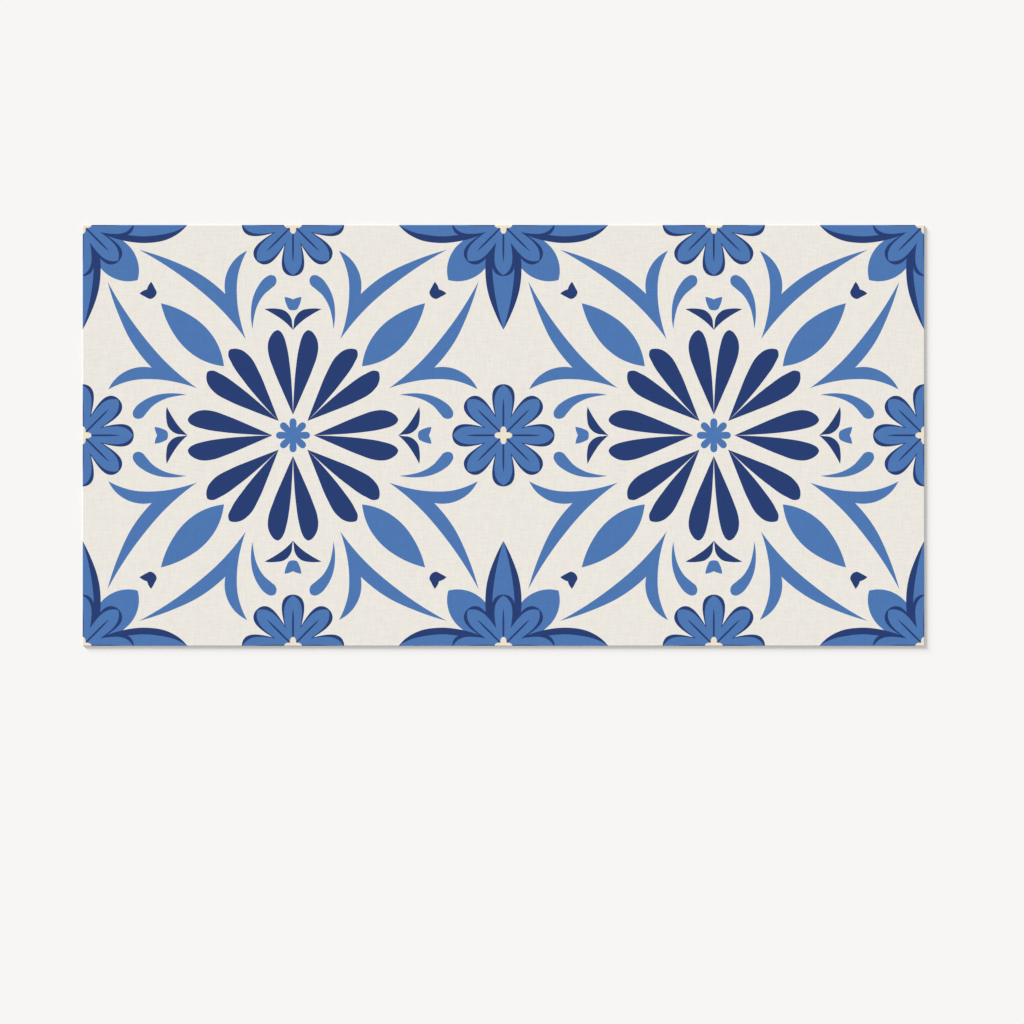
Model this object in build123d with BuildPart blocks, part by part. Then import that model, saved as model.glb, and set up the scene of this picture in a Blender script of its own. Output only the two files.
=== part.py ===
"""Vinyl wall panel: one flat sheet of printed rigid vinyl, cut square.

The sheet lies on its back with the printed face up. X runs along its width and Y along its
height on the wall. The origin is the middle of the back face.
"""
import os

from build123d import *

# Driving dimensions, in millimetres
panel_width = 1000.0
panel_height = 500.0
panel_thickness = 1.6
corner_radius = 0.8
face_edge_radius = 0.4

os.makedirs("parts", exist_ok=True)

# The sheet is die-cut from the printed side. The blade pulls the printed face's edge down into
# a small round, and the edge of the back stays sharp.
with BuildPart() as wall_panel:
    with BuildSketch(Plane.XY):
        RectangleRounded(panel_width, panel_height, corner_radius)
    extrude(amount=panel_thickness)
    printed_face = wall_panel.faces().sort_by(Axis.Z)[-1]
    fillet(printed_face.outer_wire().edges(), radius=face_edge_radius)

wall_panel.part.label = "wall_panel"
export_step(wall_panel.part, "parts/wall_panel.step")
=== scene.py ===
import math

import bmesh
import bpy
import numpy as np
from mathutils.geometry import delaunay_2d_cdt
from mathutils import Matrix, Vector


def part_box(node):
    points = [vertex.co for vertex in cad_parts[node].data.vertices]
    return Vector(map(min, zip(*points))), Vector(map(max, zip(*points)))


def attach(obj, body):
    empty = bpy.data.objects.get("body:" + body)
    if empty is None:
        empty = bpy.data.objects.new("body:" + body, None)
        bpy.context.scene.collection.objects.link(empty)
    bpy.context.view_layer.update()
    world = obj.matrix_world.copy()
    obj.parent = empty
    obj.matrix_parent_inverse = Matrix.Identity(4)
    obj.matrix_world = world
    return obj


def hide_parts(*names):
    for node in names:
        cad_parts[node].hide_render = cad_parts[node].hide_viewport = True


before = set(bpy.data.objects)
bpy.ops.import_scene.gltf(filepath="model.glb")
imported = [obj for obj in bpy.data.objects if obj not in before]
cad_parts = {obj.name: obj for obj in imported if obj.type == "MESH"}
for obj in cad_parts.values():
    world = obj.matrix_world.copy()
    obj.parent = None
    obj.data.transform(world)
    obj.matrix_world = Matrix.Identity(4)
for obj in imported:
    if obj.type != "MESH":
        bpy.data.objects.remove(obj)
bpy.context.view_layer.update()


# The vinyl sheet: one calendered sheet of rigid vinyl, plain taupe all through, with a cream ground
# coat on its face. A roller presses a linen weave into the warm face, and the weave repeats with the
# roller. The inks are printed on the ground, so the weave shows through all of them alike.
MM = 0.001  # in metres: a length without it is in millimetres
FLAT = 1e-3  # two places closer than this, in millimetres, are one
CREAM = (235, 231, 223)
TAUPE = (165, 158, 149)
ROLLER_REPEAT = 125.0
THREADS = 156  # in one repeat, each way
SLUBS = 110  # thicker threads in one repeat, each way
SLUB_RUNS = 12  # how often a thick thread starts again along one repeat
WEAVE_DEPTH = 0.012 * MM
THREAD_SHARE = 0.4  # of that depth, for the crossing threads
STREAK_SHARE = 0.3  # for the fine streaks, and as much for the thick threads
INK_SPREAD = 0.025  # how far an ink runs to both sides of its colour
INK_ROUGHNESS = 0.96
SLUB_GLOSS = 0.1  # how much smoother the thick threads are
BARE_SPREAD = 0.06
BARE_ROUGHNESS = 0.75
GRAIN_ROUGHNESS = 0.2  # how much rougher bare vinyl is where its grain stands high
SPECULAR_LEVEL = 0.1

panel_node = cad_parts["wall_panel"]
_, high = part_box("wall_panel")
half_size = np.array(high[:2]) / MM
thickness = high.z / MM
node_points = np.empty(3 * len(panel_node.data.vertices), np.float32)
panel_node.data.vertices.foreach_get("co", node_points)
node_points = node_points.reshape(-1, 3) / MM
on_face = node_points[:, 2] > thickness - FLAT
on_side = node_points[:, 0] > half_size[0] - FLAT
edge_radius = float(half_size[0] - node_points[on_face, 0].max())
corner_radius = float(half_size[1] - node_points[on_side, 1].max())


def linear(colour):
    """A colour given as sRGB levels of 0 to 255, as the linear red, green, blue and alpha of a socket."""
    share = np.array(colour) / 255
    return (*np.where(share <= 0.04045, share / 12.92, ((share + 0.055) / 1.055) ** 2.4), 1.0)


class Field:
    """A value that varies over a surface: a shader socket on which Python's operators add Math nodes."""

    def __init__(self, tree, socket):
        self.tree = tree
        self.socket = socket

    def node(self, kind, settings, inputs, output=0):
        """Any other node: its type, its settings, the values or fields of its sockets, its output."""
        made = self.tree.nodes.new(kind)
        for name, setting in settings.items():
            setattr(made, name, setting)
        for name, value in inputs.items():
            if isinstance(value, Field):
                value.feed(made.inputs[name])
            else:
                made.inputs[name].default_value = value
        return Field(self.tree, made.outputs[output])

    def feed(self, socket):
        self.tree.links.new(self.socket, socket)

    def math(self, operation, first, second=0.0):
        return self.node("ShaderNodeMath", {"operation": operation}, {0: first, 1: second})

    def __add__(self, other):
        return self.math("ADD", self, other)

    def __sub__(self, other):
        return self.math("SUBTRACT", self, other)

    def __rsub__(self, other):
        return self.math("SUBTRACT", other, self)

    def __mul__(self, other):
        return self.math("MULTIPLY", self, other)

    __radd__ = __add__
    __rmul__ = __mul__

    def mix(self, first, second):
        """The first colour where this field is 0 and the second where it is 1."""
        return self.node("ShaderNodeMix", {"data_type": "RGBA"}, {0: self, 6: first, 7: second}, 2)

    def bump(self, depth):
        """A normal for a relief of this depth, where this field is the height from 0 to 1."""
        return self.node("ShaderNodeBump", {}, {"Strength": 1.0, "Distance": depth, "Height": self})


def roller(place):
    """How far the embossing roller has turned at a place, in radians, along X and along Y."""
    turn = math.tau / (ROLLER_REPEAT * MM)
    return [place.node("ShaderNodeSeparateXYZ", {}, {0: place}, axis) * turn for axis in "XY"]


def streaks(place, along_x, along_y):
    """Noise that meets itself after one repeat, with so many features along each axis. The two turns of the
    roller are two circles, and the noise is read in four dimensions at cos and sin of both turns."""
    x, y = roller(place)
    radius_x = along_x / math.tau
    radius_y = along_y / math.tau
    ring = {
        "X": x.math("COSINE", x) * radius_x,
        "Y": x.math("SINE", x) * radius_x,
        "Z": y.math("COSINE", y) * radius_y,
    }
    last = y.math("SINE", y) * radius_y
    vector = place.node("ShaderNodeCombineXYZ", {}, ring)
    return place.node(
        "ShaderNodeTexNoise",
        {"noise_dimensions": "4D"},
        {"Vector": vector, "W": last, "Scale": 1.0, "Detail": 0.0},
    )


def vinyl(name):
    """A new matte vinyl material: the material, its shader and the place on the panel."""
    material = bpy.data.materials.new(name)
    material.use_nodes = True
    tree = material.node_tree
    shader = tree.nodes["Principled BSDF"]
    shader.inputs["Specular IOR Level"].default_value = SPECULAR_LEVEL
    return material, shader, Field(tree, tree.nodes.new("ShaderNodeTexCoord").outputs["Object"])


def printed(name, colour):
    """Ink on the embossed face. The weave is a crossing wave of threads, sin of X times sin of Y, roughened
    by streaks as wide as a thread. Thicker threads stand higher, carry less ink and look a little paler."""
    material, shader, place = vinyl(name)
    x, y = roller(place)
    weave = x.math("SINE", x * (THREADS / 2)) * y.math("SINE", y * (THREADS / 2))
    fine = streaks(place, THREADS, SLUB_RUNS) + streaks(place, SLUB_RUNS, THREADS)
    # Each of the two streaks is 0.5 on average, and so is what is left of them here.
    slubs = streaks(place, SLUBS, SLUB_RUNS) + streaks(place, SLUB_RUNS, SLUBS) - 0.5
    height = THREAD_SHARE * x.math("ABSOLUTE", weave) + STREAK_SHARE * fine + STREAK_SHARE * slubs
    shade = linear(np.array(colour) * (1 - INK_SPREAD))
    light = linear(np.minimum(np.array(colour) * (1 + INK_SPREAD), 255))
    slubs.mix(shade, light).feed(shader.inputs["Base Color"])
    (INK_ROUGHNESS - SLUB_GLOSS * slubs).feed(shader.inputs["Roughness"])
    height.bump(WEAVE_DEPTH).feed(shader.inputs["Normal"])
    return material


def bare(name, along_x, along_y, depth):
    """Taupe vinyl with no ink: streaks from the calender or the blade vary its tone and its gloss."""
    material, shader, place = vinyl(name)
    grain = streaks(place, along_x, along_y)
    shade = linear(np.array(TAUPE) * (1 - BARE_SPREAD))
    light = linear(np.array(TAUPE) * (1 + BARE_SPREAD))
    grain.mix(shade, light).feed(shader.inputs["Base Color"])
    (BARE_ROUGHNESS + GRAIN_ROUGHNESS * grain).feed(shader.inputs["Roughness"])
    grain.bump(depth).feed(shader.inputs["Normal"])
    return material


GROUND, BLUE, NAVY, HEART, CUT, BACK = range(6)
finishes = {
    GROUND: printed("cream_ground", CREAM),
    CUT: bare("cut_edge", along_x=90, along_y=90, depth=0.005 * MM),
    BACK: bare("plain_back", along_x=40, along_y=110, depth=0.01 * MM),
}


# The star: sixteen navy petals round a small blue flower, in the middle of each half of the panel. They
# are flat areas of ink, drawn in millimetres from the middle of the star with Y up the wall.
NAVY_COLOUR = (38, 60, 113)
BLUE_COLOUR = (77, 119, 178)
SPAN_POINTS = 8  # points drawn from one given point to the next
LOBE_POINTS = 32
ink_areas = []  # (ink, outline) in the order of printing
mirrors = [np.array([[x, 0], [0, y]]) for x in (1, -1) for y in (1, -1)]
swap = np.array([[0, 1], [1, 0]])
star_middles = [(-half_size[0] / 2, 0), (half_size[0] / 2, 0)]
finishes[NAVY] = printed("navy_ink", NAVY_COLOUR)
finishes[BLUE] = printed("blue_ink", BLUE_COLOUR)


def smooth(points):
    """A curve through the points: each span is a cubic that leaves and meets its ends at the slope there,
    which is the slope of a parabola through the point and its neighbours."""
    points = np.array(points, float)
    if len(points) == 2:
        return points
    run = np.append(0, np.cumsum(np.linalg.norm(np.diff(points, axis=0), axis=1)))
    slope = np.gradient(points, run, axis=0, edge_order=2)
    step = np.arange((len(points) - 1) * SPAN_POINTS + 1) / SPAN_POINTS
    span = np.minimum(step.astype(int), len(points) - 2)
    part = (step - span)[:, None]
    length = np.diff(run)[span][:, None]
    return (
        points[span] * (1 + 2 * part) * (1 - part) ** 2
        + points[span + 1] * (3 - 2 * part) * part**2
        + length * slope[span] * part * (1 - part) ** 2
        - length * slope[span + 1] * (1 - part) * part**2
    )


def outline(*strokes):
    """A closed outline of smooth strokes. Each stroke starts at its corner and ends at the next one's."""
    ends = [stroke[0] for stroke in strokes[1:] + strokes[:1]]
    return np.concatenate([smooth([*stroke, end])[:-1] for stroke, end in zip(strokes, ends)])


def lobe(length, breadth, swell, end):
    """A petal along X. With s from 0 to 1 along it, half its width is breadth s^swell (1 - s^6)^end."""
    s = np.sin(np.linspace(0, math.pi / 2, LOBE_POINTS))
    half = breadth * s**swell * (1 - s**6) ** end
    far = np.stack([length * s, half], 1)
    return np.concatenate([far * (1, -1), far[-2:0:-1]])


def turned(shape, degrees):
    """The shape turned anticlockwise about the middle."""
    turn = np.exp(1j * math.radians(degrees)) * (shape[:, 0] + 1j * shape[:, 1])
    return np.stack([turn.real, turn.imag], 1)


def print_ink(ink, shapes, middles):
    """Prints the shapes round each middle."""
    ink_areas.extend((ink, shape + middle) for middle in middles for shape in shapes)


def round_star(shape):
    """The shape in all eight mirrored places round a star."""
    return [copy @ mirror for copy in (shape, shape @ swap) for mirror in mirrors]


def round_flower(shape):
    """The shape turned to each of a flower's eight petals."""
    return [turned(shape, degrees) for degrees in range(0, 360, 45)]


upright_petal = outline(
    [(0, 24.5), (1, 50), (3.5, 81), (7.5, 106), (11, 117.5), (14, 122.5), (18, 125), (22, 123.5)]
    + [(26, 119), (29, 112.5), (30, 105), (29, 96), (23, 78), (11, 49.5)],
)
slanted_petal = outline(
    [(17, 17), (22, 30), (30, 50.5), (40, 74.5), (52, 94.5), (61.5, 101.5), (70, 103)]
    + [(75.5, 101.5), (77, 96.5), (73, 86), (58.5, 64.5), (37.5, 39)],
)
print_ink(BLUE, round_flower(lobe(length=20.2, breadth=5.3, swell=0.45, end=0.5)), star_middles)
print_ink(NAVY, round_star(upright_petal) + round_star(slanted_petal), star_middles)


# The sprays: leaves, hooks and buds that stand round each star and fill the room to the flowers. They
# are printed in the same two inks, and each is drawn once, in the star's upper right, and mirrored.
calyx = outline(
    [(0, 125), (1, 132), (1.5, 137), (5, 144), (10.5, 148.5), (19.5, 150.5)],
    [(34, 150), (20.5, 142.5), (10.5, 135.5)],
)
tulip = outline(
    [(0, 161.5), (5, 163.5)],
    [(10, 164.5), (7.5, 154.5), (4.5, 149.5), (0, 148.5), (-4.5, 149.5), (-7.5, 154.5)],
    [(-10, 164.5), (-5, 163.5)],
)
hook = outline(
    [(48, 126), (50, 145), (48, 162), (41, 178), (33.5, 187), (26, 190.5), (21.5, 189)]
    + [(19.5, 184), (21, 179), (26, 174.5), (34.5, 167), (43, 152.5), (46.5, 139)],
)
fork = outline(
    [(56, 114), (61.5, 132), (66.5, 163), (65, 192), (60, 208)],
    [(54.5, 219.5), (69.5, 208.5), (79.5, 190.5)],
    [(80.5, 168), (109.5, 191), (145, 208)],
    [(183, 220.5), (153, 203), (120.5, 180), (85.5, 149.5)],
)
leaf_side = [(91.5, 112), (106.5, 131), (126, 145)]
leaf = outline([(82, 82), *leaf_side], [(157, 157), *np.array(leaf_side)[::-1] @ swap])
bud = outline(
    [(168.5, 182.5), (164.5, 175.5), (162, 169.5), (164.5, 164.5), (169.5, 162), (175.5, 164.5)],
    [(182.5, 168.5), (178.5, 171.5)],
    [(173.5, 173.5), (171.5, 178.5)],
)
print_ink(NAVY, round_star(calyx) + [bud @ mirror for mirror in mirrors], star_middles)
print_ink(BLUE, [tulip, -tulip, tulip @ swap, -tulip @ swap], star_middles)
print_ink(BLUE, round_star(hook) + round_star(fork), star_middles)
print_ink(BLUE, [leaf @ mirror for mirror in mirrors], star_middles)


# The flowers: eight-petalled, at the corners and the middles of the sides of each half, so that they are
# whole only where panels meet. Each blue petal has a navy shade round its tip and a navy rib, and the
# bare heart is a warmer cream. The corner flowers have four broad leaves and four long shaded ones.
HEART_COLOUR = (237, 225, 203)
HEART_POINTS = 96
HEART_WAIST = 5.2
HEART_LOBE = 5.3  # how far its four lobes reach past the waist
HEART_TAPER = 1.5
finishes[HEART] = printed("heart_cream", HEART_COLOUR)
columns = half_size[0] * np.array([-1, 0, 1])
corner_middles = [(x, y) for x in columns for y in (-half_size[1], half_size[1])]
side_middles = [(x, 0) for x in columns]
side_middles += [(x, y) for x, _ in star_middles for y in (-half_size[1], half_size[1])]


def leaf_from_heart(tip, side, mirror):
    """A leaf from a flower's heart to its tip and back. The way back is the way out mirrored."""
    return outline([tip, *side], [(0, 0), *np.array(side)[::-1] @ mirror])


def both_ways(shape):
    """The shape and the one across from it."""
    return [shape, -shape]


across_x = mirrors[2]
across_y = mirrors[1]
broad_side = [(-67, -53), (-64.5, -40), (-57.5, -27.5), (-48.5, -19), (-30, -7)]
flat_shade = [(-115.5, -9), (-100, -17.5), (-75, -21.5), (-50, -19), (-32, -14)]
flat_light = [(-110, -7.5), (-90, -12), (-75, -13.5), (-50, -11.5)]
tall_shade = [(-9, -106.5), (-19.5, -75), (-21.5, -55), (-20.5, -38)]
tall_light = [(-6.5, -100), (-11.5, -72), (-13, -55)]
broad_leaf = leaf_from_heart((-65.5, -65.5), broad_side, swap)
flat_tip = (-124.5, 0)
tall_tip = (0, -124.5)
long_shades = both_ways(leaf_from_heart(flat_tip, flat_shade, across_y))
long_shades += both_ways(leaf_from_heart(tall_tip, tall_shade, across_x))
long_lights = both_ways(leaf_from_heart(flat_tip, flat_light, across_y))
long_lights += both_ways(leaf_from_heart(tall_tip, tall_light, across_x))
print_ink(BLUE, [broad_leaf @ mirror for mirror in mirrors], corner_middles)
print_ink(NAVY, long_shades, corner_middles)
print_ink(BLUE, long_lights, corner_middles)

flower_middles = corner_middles + side_middles
print_ink(NAVY, round_flower(lobe(length=60.8, breadth=17.6, swell=0.605, end=0.5)), flower_middles)
print_ink(BLUE, round_flower(lobe(length=59.6, breadth=13.8, swell=0.45, end=0.85)), flower_middles)
print_ink(NAVY, round_flower(lobe(length=44.5, breadth=1.3, swell=0.2, end=1.0)), flower_middles)
angle = math.tau * np.arange(HEART_POINTS) / HEART_POINTS
heart_radius = HEART_WAIST + HEART_LOBE * np.abs(np.cos(2 * angle)) ** HEART_TAPER
heart = np.stack([heart_radius * np.cos(angle), heart_radius * np.sin(angle)], 1)
print_ink(HEART, [heart], flower_middles)


# The cut panel: the printed sheet is die-cut to size through the print. The blade comes down on the face
# and draws the face's edge into a small round, which stays printed, and leaves a plain taupe edge below.
# Its face is divided along the outlines of the inks, so each ink ends in a clean line.
EASE_STEPS = 4  # facets of the rounded edge
CORNER_STEPS = 6  # facets of a rounded corner
OVERRUN = 10.0  # how far the lines between repeats run past the sheet's edge
WELD = FLAT / 10  # points closer than this are joined
ALL_TRIANGLES = 0  # what the triangulation is asked for
MAP_MARGIN = 1 / 32  # free strip round a square, as a share of its side
MAP_SQUARES = {  # low corner and side of each finish's square on the bake's map
    GROUND: (0, 0, 0.5),
    BLUE: (0.5, 0, 0.5),
    NAVY: (0, 0.5, 0.5),
    HEART: (0.75, 0.5, 0.25),
    CUT: (0.5, 0.75, 0.25),
    BACK: (0.5, 0.5, 0.25),
}


def depth_inside(points):
    """How far points lie inside the sheet's outline, a rectangle with rounded corners."""
    past = np.abs(points) - (half_size - corner_radius)
    outside = np.linalg.norm(np.maximum(past, 0), axis=1)
    return corner_radius - outside - np.minimum(past.max(axis=1), 0)


def rounded_outline(inset):
    """The sheet's outline moved inwards by the inset: a quarter circle at each corner, anticlockwise."""
    turn = np.linspace(0, math.pi / 2, CORNER_STEPS + 1)
    arc = (corner_radius - inset) * np.stack([np.cos(turn), np.sin(turn)], 1)
    right = half_size - corner_radius + arc
    left = right[::-1] * (-1, 1)
    return np.concatenate([right, left, -right, -left])


def anticlockwise(shape):
    """The outline, turned round if its points run clockwise."""
    following = np.roll(shape, -1, axis=0)
    area = shape[:, 0] * following[:, 1] - shape[:, 1] * following[:, 0]
    return shape if area.sum() > 0 else shape[::-1]


def divided(points, edges, areas):
    """The first area as triangles, parted along the edges, between the repeats and round the other areas:
    the points, the triangles' corners and the number of the last area that covers each triangle."""
    first = len(points) + len(repeat_lines)
    starts = first + np.cumsum([0, *map(len, areas)])
    partings = np.arange(len(points), first).reshape(-1, 2)
    found_points, _, triangles, _, _, covers = delaunay_2d_cdt(
        np.concatenate([points, repeat_lines, *areas]).tolist(),
        np.concatenate([edges, partings]).tolist(),
        [list(range(start, end)) for start, end in zip(starts, starts[1:])],
        ALL_TRIANGLES,
        FLAT,
    )
    within = np.array([0 in numbers for numbers in covers])
    topmost = np.array([max(numbers) for numbers in covers if 0 in numbers])
    used, corners = np.unique(np.array(triangles)[within], return_inverse=True)
    return np.array(found_points)[used], corners.reshape(-1, 3), topmost


def in_repeat(corners):
    """Where the corners of faces lie in their own repeat of the roller, from 0 to 1 each way."""
    turns = (corners + half_size) / ROLLER_REPEAT
    return turns - np.floor(turns.mean(axis=1, keepdims=True))


def on_map(finish, places):
    """Places from 0 to 1 in the squares of their finishes on the bake's map, as rows of U and V."""
    squares = np.array([MAP_SQUARES[number] for number in range(len(MAP_SQUARES))])[finish]
    inner = MAP_MARGIN + (1 - 2 * MAP_MARGIN) * places
    return (squares[:, None, :2] + squares[:, None, 2:] * inner).reshape(-1, 2)


repeat_x = np.arange(-half_size[0] + ROLLER_REPEAT, half_size[0] - FLAT, ROLLER_REPEAT)
repeat_y = np.arange(-half_size[1] + ROLLER_REPEAT, half_size[1] - FLAT, ROLLER_REPEAT)
reach = half_size + OVERRUN
repeat_lines = np.array(
    [(x, side * reach[1]) for x in repeat_x for side in (-1, 1)]
    + [(side * reach[0], y) for y in repeat_y for side in (-1, 1)]
)

ease_turns = np.linspace(0, math.pi / 2, EASE_STEPS + 1)
rims = np.stack([rounded_outline(edge_radius * (1 - math.cos(turn))) for turn in ease_turns])
rim_numbers = np.arange(rims.shape[0] * rims.shape[1]).reshape(rims.shape[:2])
rim_edges = np.stack([rim_numbers, np.roll(rim_numbers, -1, axis=1)], 2).reshape(-1, 2)
outlines = [anticlockwise(shape) for _, shape in ink_areas]
face_points, face_corners, topmost = divided(rims.reshape(-1, 2), rim_edges, [rims[0], *outlines])
face_inks = np.array([GROUND] + [ink for ink, _ in ink_areas])[topmost]

# An edge of the face that no second triangle runs back along is on the cut.
face_edges = np.concatenate([face_corners[:, [0, 1]], face_corners[:, [1, 2]], face_corners[:, [2, 0]]])
forward = face_edges @ (len(face_points), 1)
backward = face_edges @ (1, len(face_points))
cut_edges = face_edges[~np.isin(forward, backward)]
cut_points, foot_edges = np.unique(cut_edges, return_inverse=True)
foot_edges = foot_edges.reshape(-1, 2)

# The back has the points of the cut all round it, and only the repeats part it.
foot = face_points[cut_points]
foot_outline = foot[np.argsort(np.arctan2(foot[:, 1], foot[:, 0]))]
back_points, back_corners, _ = divided(foot[:0], foot_edges[:0], [foot_outline])

# Round the edge the face falls away along a quarter circle, down to the top of the cut.
inset = np.clip(depth_inside(face_points), 0, edge_radius)
inset[cut_points] = 0
face_height = thickness - edge_radius + np.sqrt(edge_radius**2 - (edge_radius - inset) ** 2)
feet = len(face_points)
below = feet + len(cut_points)
points = np.concatenate(
    [
        np.column_stack([face_points, face_height]),
        np.pad(foot, ((0, 0), (0, 1))),
        np.pad(back_points, ((0, 0), (0, 1))),
    ]
)
walls = np.concatenate([cut_edges[:, ::-1], feet + foot_edges], axis=1)
backs = below + back_corners[:, ::-1]
mesh = bpy.data.meshes.new("printed_panel")
mesh.from_pydata((points * MM).tolist(), [], face_corners.tolist() + walls.tolist() + backs.tolist())

wall_finish = np.full(len(walls), CUT)
back_finish = np.full(len(backs), BACK)
eased = depth_inside(face_points[face_corners].mean(axis=1)) < edge_radius
mesh.polygons.foreach_set("material_index", np.concatenate([face_inks, wall_finish, back_finish]))
rounded = np.concatenate([eased, np.ones(len(walls), bool), np.zeros(len(backs), bool)])
mesh.polygons.foreach_set("use_smooth", rounded)
for number in sorted(finishes):
    mesh.materials.append(finishes[number])

# The bake's map stacks all repeats of a finish on one square, because they look alike.
wall_run = in_repeat(points[walls][:, :, :2]).mean(axis=2)
wall_places = np.stack([wall_run, points[walls][:, :, 2] / thickness], 2)
back_places = in_repeat(points[backs][:, :, :2])
bake_map = np.concatenate(
    [
        on_map(face_inks, in_repeat(face_points[face_corners])),
        on_map(wall_finish, wall_places),
        on_map(back_finish, back_places),
    ]
)
mesh.uv_layers.new(name="OFBake").uv.foreach_set("vector", bake_map.ravel())

welded = bmesh.new()
welded.from_mesh(mesh)
bmesh.ops.remove_doubles(welded, verts=welded.verts, dist=WELD * MM)
welded.to_mesh(mesh)
welded.free()
printed_panel = bpy.data.objects.new("printed_panel", mesh)
bpy.context.scene.collection.objects.link(printed_panel)
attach(printed_panel, "root")
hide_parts("wall_panel")


# The floor: a plain pale studio floor under the sheet, wide enough to fill every view.
FLOOR_COLOUR = (247, 246, 244)
FLOOR_REACH = 30000 * MM
FLOOR_DROP = 0.05 * MM  # keeps the floor clear of the sheet's back
floor_mesh = bpy.data.meshes.new("studio_floor")
floor_corners = [(-1, -1), (1, -1), (1, 1), (-1, 1)]
floor_points = [(FLOOR_REACH * x, FLOOR_REACH * y, -FLOOR_DROP) for x, y in floor_corners]
floor_mesh.from_pydata(floor_points, [], [range(len(floor_points))])
floor_finish = bpy.data.materials.new("studio_floor")
floor_finish.use_nodes = True
floor_shader = floor_finish.node_tree.nodes["Principled BSDF"]
floor_shader.inputs["Base Color"].default_value = linear(FLOOR_COLOUR)
floor_shader.inputs["Roughness"].default_value = 1.0
floor_shader.inputs["Specular IOR Level"].default_value = 0.0
floor_mesh.materials.append(floor_finish)
floor = bpy.data.objects.new("studio_floor", floor_mesh)
bpy.context.scene.collection.objects.link(floor)


# The light: a soft key from the upper left, low enough for the thin sheet to throw a shadow along its
# right and lower edges, and an even white surround. Together they light a level face at strength 1.
KEY_SHARE = 0.42
KEY_ELEVATION = math.radians(12)
KEY_WIDTH = math.radians(16)
KEY_TURN = math.radians(135)
scene = bpy.context.scene
scene.view_settings.view_transform = "Standard"
key_light = bpy.data.lights.new("key", "SUN")
key_light.energy = KEY_SHARE * math.pi / math.sin(KEY_ELEVATION)
key_light.angle = KEY_WIDTH
key = bpy.data.objects.new("key", key_light)
key.rotation_euler = (0, math.pi / 2 - KEY_ELEVATION, KEY_TURN)
scene.collection.objects.link(key)

surround = bpy.data.worlds.new("surround")
surround.use_nodes = True
scene.world = surround
rays = surround.node_tree.nodes.new("ShaderNodeLightPath").outputs
seen_by = ("Is Camera Ray", "Is Glossy Ray", "Is Transmission Ray")
camera_ray, glossy_ray, clear_ray = (Field(surround.node_tree, rays[name]) for name in seen_by)
even_light = (1 - KEY_SHARE, 1 - KEY_SHARE, 1 - KEY_SHARE, 1.0)
backdrop = (camera_ray + glossy_ray + clear_ray).mix(even_light, linear(FLOOR_COLOUR))
backdrop.feed(surround.node_tree.nodes["Background"].inputs["Color"])


# The camera: straight above, with the sheet a little left of the middle and above it.
FRAME_WIDTH = 1216.7 * MM
LENS = 85.0
CAMERA_X = 10.2 * MM
CAMERA_Y = -91.1 * MM
camera_data = bpy.data.cameras.new("camera")
camera_data.lens = LENS
camera = bpy.data.objects.new("camera", camera_data)
distance = FRAME_WIDTH * LENS / camera_data.sensor_width
camera.location = (CAMERA_X, CAMERA_Y, high.z + distance)
scene.collection.objects.link(camera)
scene.camera = camera
